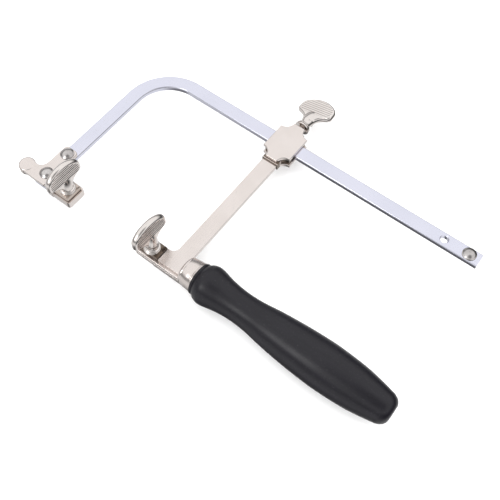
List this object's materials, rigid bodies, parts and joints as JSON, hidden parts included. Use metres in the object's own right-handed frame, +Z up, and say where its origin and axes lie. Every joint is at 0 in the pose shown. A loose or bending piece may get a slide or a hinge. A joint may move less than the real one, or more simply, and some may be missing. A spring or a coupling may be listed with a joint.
{
  "type": "adjustable piercing saw frame",
  "caption": "Adjustable jeweller's piercing saw frame with a turned black handle, sliding bow bar, lock screw and two wing-screw blade clamps; no blade.",
  "frame": {"origin": "on the rear clamp screw's axis, at the height where the blade is held (the face the rear jaw closes on)", "axes": "the frame lies on its side: +X along the blade line from the front clamp to the handle's butt, +Y from the blade line to the spine, +Z up out of the side the wing screws stand on"},
  "size_m": [0.2521, 0.1546, 0.0405],
  "materials": {
    "chrome": "bright plated bar with eased edges",
    "nickel": "warm satin nickel plate",
    "polished": "polished steel jaw",
    "black": "black lacquer, satin"
  },
  "bodies": {
    "handle_frame": {"handle": "black", "ferrule": "nickel", "rear_clamp_body": "nickel", "slider_arm": "nickel", "head_arm_block": "nickel", "head_screw_block": "nickel", "head_front_plate": "nickel", "head_back_plate": "nickel"},
    "bow": {"bow_bar": "chrome", "front_bracket": "nickel", "bracket_rivet_upper": "nickel", "bracket_rivet_lower": "nickel", "stop_rivet": "chrome"},
    "front_jaw": {"front_jaw_plate": "polished"},
    "front_screw": {"front_clamp_screw": "nickel"},
    "rear_jaw": {"rear_jaw_plate": "polished"},
    "rear_screw": {"rear_clamp_screw": "nickel"},
    "shoe": {"lock_shoe": "polished"},
    "lock": {"lock_screw": "nickel"}
  },
  "joints": [
    {"name": "bow_slide", "type": "slide", "parent": "handle_frame", "child": "bow", "axis": [-1, 0, 0], "range_m": [-0.04, 0.109]},
    {"name": "front_jaw_lift", "type": "slide", "parent": "bow", "child": "front_jaw", "axis": [0, 0, 1], "range_m": [-0.0004, 0.0025]},
    {"name": "front_screw_turn", "type": "hinge", "parent": "front_jaw", "child": "front_screw", "pos_m": [-0.0639, 0, 0.0029], "axis": [0, 0, 1], "range_deg": [-180, 1260]},
    {"name": "rear_jaw_lift", "type": "slide", "parent": "handle_frame", "child": "rear_jaw", "axis": [0, 0, 1], "range_m": [-0.0004, 0.0025]},
    {"name": "rear_screw_turn", "type": "hinge", "parent": "rear_jaw", "child": "rear_screw", "pos_m": [0, 0, 0.0029], "axis": [0, 0, 1], "range_deg": [-180, 1260]},
    {"name": "shoe_lift", "type": "slide", "parent": "handle_frame", "child": "shoe", "axis": [0, 1, 0], "range_m": [0, 0.001]},
    {"name": "lock_turn", "type": "hinge", "parent": "shoe", "child": "lock", "pos_m": [0.0167, 0.1173, 0.00125], "axis": [0, 1, 0], "range_deg": [0, 720]}
  ],
  "couplings": [
    {"joint": "front_jaw_lift", "follows": "front_screw_turn", "m_per_rad": 0.00011141},
    {"joint": "rear_jaw_lift", "follows": "rear_screw_turn", "m_per_rad": 0.00011141},
    {"joint": "shoe_lift", "follows": "lock_turn", "m_per_rad": 0.000079577}
  ]
}
